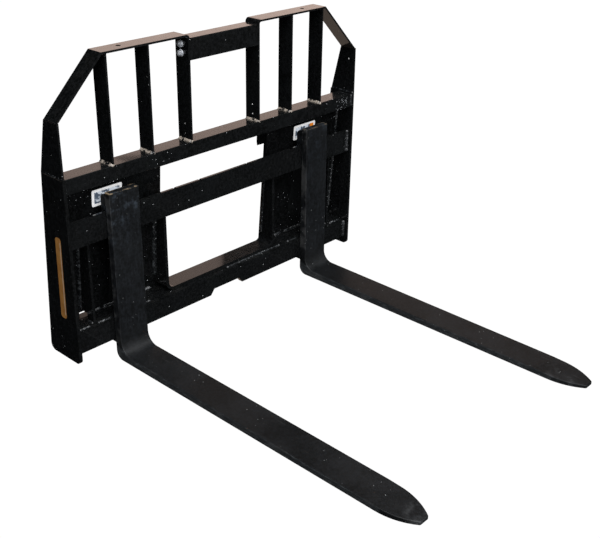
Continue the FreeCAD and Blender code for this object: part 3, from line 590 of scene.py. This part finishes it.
def fillet_weld(piece, p0, p1, u, v, leg, rng):
    a, b = mm(p0), mm(p1)
    u, v = Vector(u).normalized(), Vector(v).normalized()
    t = (b - a).normalized()
    leg = leg / 1000.0

    def point(q, size, ripple, s):
        if q is None:
            return a + t * s - (u + v) * 0.0002
        an = math.pi / 2 * q
        bulge = 0.94 + 0.06 * math.cos(4 * an)
        r = leg * size * (bulge if q in (0.0, 1.0) else bulge * ripple)
        return a + t * s + u * (r * math.cos(an) - 0.0002 * math.sin(an)) + v * (r * math.sin(an) - 0.0002 * math.cos(an))

    profile_run(piece, a, b, point, rng)


def crown_weld(piece, p0, p1, w, n, width, height, rng):
    """A flat butt weld crown on a face with normal n."""
    a, b = mm(p0), mm(p1)
    w, n = Vector(w), Vector(n)
    t = (b - a).normalized()

    def point(q, size, ripple, s):
        if q is None:
            return a + t * s - n * 0.0003
        an = math.pi * q
        return a + t * s + w * (width / 2000.0 * size * math.cos(an)) + n * (height / 1000.0 * ripple * math.sin(an) * size - 0.0001)

    profile_run(piece, a, b, point, rng, 0.0036)


def flip(p):
    return (-p[0], p[1], p[2])


def mirrored(beads):
    return beads + [(flip(a), flip(b), flip(u), flip(v), leg) for a, b, u, v, leg in beads]


def round_bead(piece, p0, p1, u, v, leg):
    """A smooth, even bead."""
    a, b = mm(p0), mm(p1)
    u, v = Vector(u), Vector(v)
    t = (b - a).normalized()
    run = (b - a).length
    leg = leg / 1000.0
    rings = []
    n = int(run / 0.004)
    for i in range(n + 1):
        s = run * i / n
        e = min(1.0, s / 0.004, (run - s) / 0.004)
        r = leg * (0.25 + 0.75 * math.sqrt(max(0.0, 1 - (1 - e) ** 2)))
        ring = [a + t * s + u * (r * math.cos(math.pi / 2 * j / 8)) + v * (r * math.sin(math.pi / 2 * j / 8)) for j in range(9)]
        ring.append(a + t * s - (u + v) * 0.0002)
        rings.append(ring)
    piece.tube(rings, sum(rings[0], Vector()) / 10 - t * 0.0003, sum(rings[-1], Vector()) / 10 + t * 0.0003)


RUNS = {
    "guard_welds": mirrored(BEADS["guard_welds"]),
    "side_plate_welds": mirrored(BEADS["side_plate_welds"]),
    "shelf_welds": mirrored(BEADS["shelf_welds"]),
    "window_welds": mirrored(BEADS["window_welds"][:2]) + BEADS["window_welds"][2:],
    "rib_welds": mirrored(BEADS["rib_welds"]),
    "right_hook_welds": BEADS["right_hook_welds"],
    "left_hook_welds": mirrored(BEADS["right_hook_welds"])[len(BEADS["right_hook_welds"]):],
}
for i, (node, runs) in enumerate(sorted(RUNS.items())):
    rng = random.Random(400 + i)
    piece = Piece()
    for p0, p1, u, v, leg in runs:
        fillet_weld(piece, p0, p1, u, v, leg, rng)
    if node == "guard_welds":
        for s in (-1, 1):
            for x in (137.2, 281.0, 420.5):
                for _ in range(3):
                    at = mm((s * x + rng.uniform(-3.0, 3.0), rng.uniform(-0.6, 0.4), 601.0 + rng.uniform(-1.8, 2.2)))
                    piece.ball(at, Vector((rng.uniform(-0.4, 0.4), -1.0, rng.uniform(0.1, 0.7))), rng.uniform(0.0026, 0.0040), rng, 0.8)
            crown_weld(piece, (s * 588.0, 1.5, 755.0), (s * 588.0, 53.5, 755.0), (0, 0, 1), (s, 0, 0), 5.0, 0.95, rng)
    if node == "side_plate_welds":
        for s in (-1, 1):
            crown_weld(piece, (s * 588.0, -3.5, 604.0), (s * 588.0, 90.5, 604.0), (0, 0, 1), (s, 0, 0), 8.0, 0.95, rng)
    if node == "shelf_welds":
        round_bead(piece, (15.0, 28.0, 130.0), (262.0, 28.0, 130.0), (0, -1, 0), (0, 0, 1), 4.0)
    if node == "window_welds":
        crown_weld(piece, (225.0, 80.5, 174.0), (225.0, 60.5, 441.0), (0, 1, 0), (-1, 0, 0), 8.0, 2.6, rng)
        crown_weld(piece, (-235.0, 80.5, 174.0), (-235.0, 60.5, 441.0), (0, 1, 0), (-1, 0, 0), 8.0, 2.6, rng)
    piece.make(node + "_beads", body_of[node], GUARD_WELD_REFLECTION if node == "guard_welds" else MAT["weld_black"], slot_of[node], node)

# ------------------------------------------------------------------ weld spatter
FRAME_NODES = sorted(n for n, b in body_of.items() if b == "frame" and slot_of[n] == "gloss_black")


def frame_tree():
    v, f, own = [], [], []
    for n in FRAME_NODES:
        me = nodes[n].data
        me.calc_loop_triangles()
        base = len(v)
        v.extend(Vector(p.co) for p in me.vertices)
        for tri in me.loop_triangles:
            f.append(tuple(base + q for q in tri.vertices))
            own.append(n)
    return BVHTree.FromPolygons(v, f), own


def on_track(at, node):
    """True where a fork slides, so nothing may stand there."""
    return node in ("upper_fork_bar", "lower_fork_bar") and abs(at.x) < 0.562


SPREAD = {"guard_welds": 0.040, "side_plate_welds": 0.011, "shelf_welds": 0.010, "window_welds": 0.012, "rib_welds": 0.016}


def add_spatter():
    tree, own = frame_tree()
    rng = random.Random(71)
    piece = Piece()

    def drop(start, way, size):
        hit = tree.ray_cast(start, way, 0.12)
        if hit[0] is None or on_track(hit[0], own[hit[2]]):
            return
        n = hit[1] if hit[1].dot(way) < 0 else -hit[1]
        piece.ball(hit[0], n, size, rng)

    for node in sorted(SPREAD):
        for p0, p1, u, v, leg in RUNS[node]:
            a, b = mm(p0), mm(p1)
            out = (Vector(u).normalized() + Vector(v).normalized()) * 0.7
            many = int((b - a).length / SPREAD[node] * 0.55) + 1
            for _ in range(many):
                s = a.lerp(b, rng.uniform(-0.05, 1.05)) + out * rng.uniform(0.010, 0.022)
                way = Vector([rng.gauss(0, 1) for _ in range(3)]).normalized() - out * 0.9
                drop(s, way.normalized(), rng.choice((0.0005, 0.0006, 0.0008, 0.0011)) * rng.uniform(0.8, 1.2))
    # loose spatter on the faces that look forward
    for x0, x1, z0, z1, many in (
        (-575, -440, 490, 562, 34), (-300, -215, 540, 600, 6), (-470, -215, 549, 557, 30),
        (500, 560, 540, 600, 60), (470, 575, 480, 560, 24), (230, 470, 520, 600, 8), (-575, -215, 140, 390, 30),
        (230, 575, 140, 390, 60), (-575, 575, 556, 600, 8),
    ):
        for _ in range(many):
            s = mm((rng.uniform(x0, x1), -40.0, rng.uniform(z0, z1)))
            hit = tree.ray_cast(s, Vector((0, 1, 0)), 0.3)
            if hit[0] is None or on_track(hit[0], own[hit[2]]):
                continue
            piece.ball(hit[0], -hit[1] if hit[1].y > 0 else hit[1], rng.choice((0.0005, 0.0007, 0.0009, 0.0012)) * rng.uniform(0.8, 1.2), rng)
    piece.make("frame_weld_spatter", "frame", spatter_glint_mat(), "weld_black")


add_spatter()


# ------------------------------------------------------------------ stage
def make_stage():
    me = bpy.data.meshes.new("floor")
    s = 40.0
    me.from_pydata([(-s, -s, 0), (s, -s, 0), (s, s, 0), (-s, s, 0)], [], [(0, 1, 2, 3)])
    ob = bpy.data.objects.new("floor", me)
    scene.collection.objects.link(ob)
    ob.location = (0, 0, -0.0005)
    m, t = new_mat("pale_floor")
    p = t.finish((0.0, 0.0, 0.0, 1), 0.9, spec=0.0)
    p.inputs["Emission Color"].default_value = (1.0, 1.0, 1.0, 1)
    p.inputs["Emission Strength"].default_value = 1.03
    me.materials.append(m)
    ob.visible_glossy = False
    ob.visible_diffuse = False
    # a pale backdrop that only the camera sees
    me = bpy.data.meshes.new("backdrop")
    bm = bmesh.new()
    bmesh.ops.create_icosphere(bm, subdivisions=4, radius=36.0)
    bm.to_mesh(me)
    bm.free()
    ob = bpy.data.objects.new("backdrop", me)
    scene.collection.objects.link(ob)
    m, t = new_mat("pale_backdrop")
    e = t.node("ShaderNodeEmission")
    e.inputs["Color"].default_value = (1, 1, 1, 1)
    e.inputs["Strength"].default_value = 1.03
    o = t.node("ShaderNodeOutputMaterial")
    t.t.links.new(e.outputs[0], o.inputs["Surface"])
    me.materials.append(m)
    ob.visible_glossy = False
    ob.visible_diffuse = False
    ob.visible_shadow = False
    ob.visible_transmission = False


make_stage()


def make_world():
    w = bpy.data.worlds.new("studio")
    scene.world = w
    w.use_nodes = True
    t = Tree(w.node_tree)
    d = t.node("ShaderNodeTexCoord").outputs["Generated"]
    x, y, z = t.xyz(d)
    az = t.math("MULTIPLY", t.math("ARCTAN2", x, y), 180.0 / math.pi)
    el = t.math("MULTIPLY", t.math("ARCSINE", z), 180.0 / math.pi)
    # a warm wall low behind the object, higher on its left part
    level = t.math("MULTIPLY", t.remap(el, 11.5, 19.5, 0.86, 0.60, False), t.remap(el, 19.5, 27.0, 1.0, 0.92, False))
    step = t.remap(az, 42.1, 43.0, 28.8, 23.4)
    top = t.math("SUBTRACT", el, step)
    band = t.math("MULTIPLY", t.remap(el, 2.0, 6.5), t.remap(top, 0.9, -0.9))
    band = t.math("MULTIPLY", band, t.math("MULTIPLY", t.remap(az, 6.0, 20.0), t.remap(az, 82.0, 68.0)))
    lean = t.math("SUBTRACT", az, t.math("MULTIPLY", el, 2.6))
    spot = t.math("MULTIPLY", t.remap(el, 19.56, 19.66), t.remap(el, 20.7, 20.4))
    spot = t.math("MULTIPLY", spot, t.remap(lean, -15.40, -15.15))
    band = t.math("MULTIPLY", t.math("MULTIPLY", band, level), t.math("MULTIPLY_ADD", spot, -0.86, 1.0))
    shade = t.math("MULTIPLY", t.remap(az, 42.0, 43.2), t.remap(el, 21.6, 22.8))
    band = t.math("MULTIPLY", band, t.math("MULTIPLY_ADD", shade, -0.85, 1.0))
    # a wide soft front and an overhead panel
    front = t.remap(t.dot(d, (-0.12, -0.86, 0.50)), 0.35, 0.80)
    front = t.math("MULTIPLY", front, t.remap(el, 14.0, 36.0, 0.12, 1.0))
    gap = t.remap(t.dot(d, (0.66, -0.60, 0.446)), 0.86, 0.96)
    front = t.math("MULTIPLY", front, t.math("MULTIPLY_ADD", gap, -0.96, 1.0))
    over = t.remap(el, 62.0, 76.0)
    glow = t.remap(t.dot(d, (0.36, 0.60, -0.71)), 0.80, 0.96)
    side = t.math("MULTIPLY", t.remap(t.dot(d, (-0.70, -0.60, -0.38)), 0.62, 0.92), 0.05)
    low = t.remap(t.dot(d, (0.66, -0.60, -0.446)), 0.55, 0.92)
    col = t.mix(low, (0.004, 0.0045, 0.005, 1), (0.020, 0.0215, 0.0225, 1))
    col = t.mix(band, col, (1.26, 0.955, 0.82, 1))
    col = t.mix(glow, col, (0.30, 0.24, 0.20, 1))
    col = t.mix(side, col, (1.0, 1.0, 1.0, 1))
    col = t.mix(front, col, (2.55, 2.6, 2.68, 1))
    col = t.mix(over, col, (0.9, 0.92, 0.95, 1))
    bg = t.node("ShaderNodeBackground")
    t.put(bg.inputs["Color"], col)
    bg.inputs["Strength"].default_value = 1.0
    o = t.node("ShaderNodeOutputWorld")
    t.t.links.new(bg.outputs[0], o.inputs["Surface"])


make_world()


def area(name, loc, target, size, power, color=(1, 1, 1)):
    li = bpy.data.lights.new(name, "AREA")
    li.shape = "RECTANGLE"
    li.size, li.size_y = size
    li.energy = power
    li.color = color
    ob = bpy.data.objects.new(name, li)
    ob.location = loc
    ob.rotation_euler = (Vector(target) - Vector(loc)).to_track_quat("-Z", "Y").to_euler()
    scene.collection.objects.link(ob)
    return ob


area("top_softbox", (-0.4, -0.6, 3.4), (0.0, 0.1, 0.3), (2.2, 2.2), 22.0)
area("front_softbox", (-1.4, -3.6, 2.3), (0.0, 0.4, 0.4), (1.6, 1.2), 26.0)
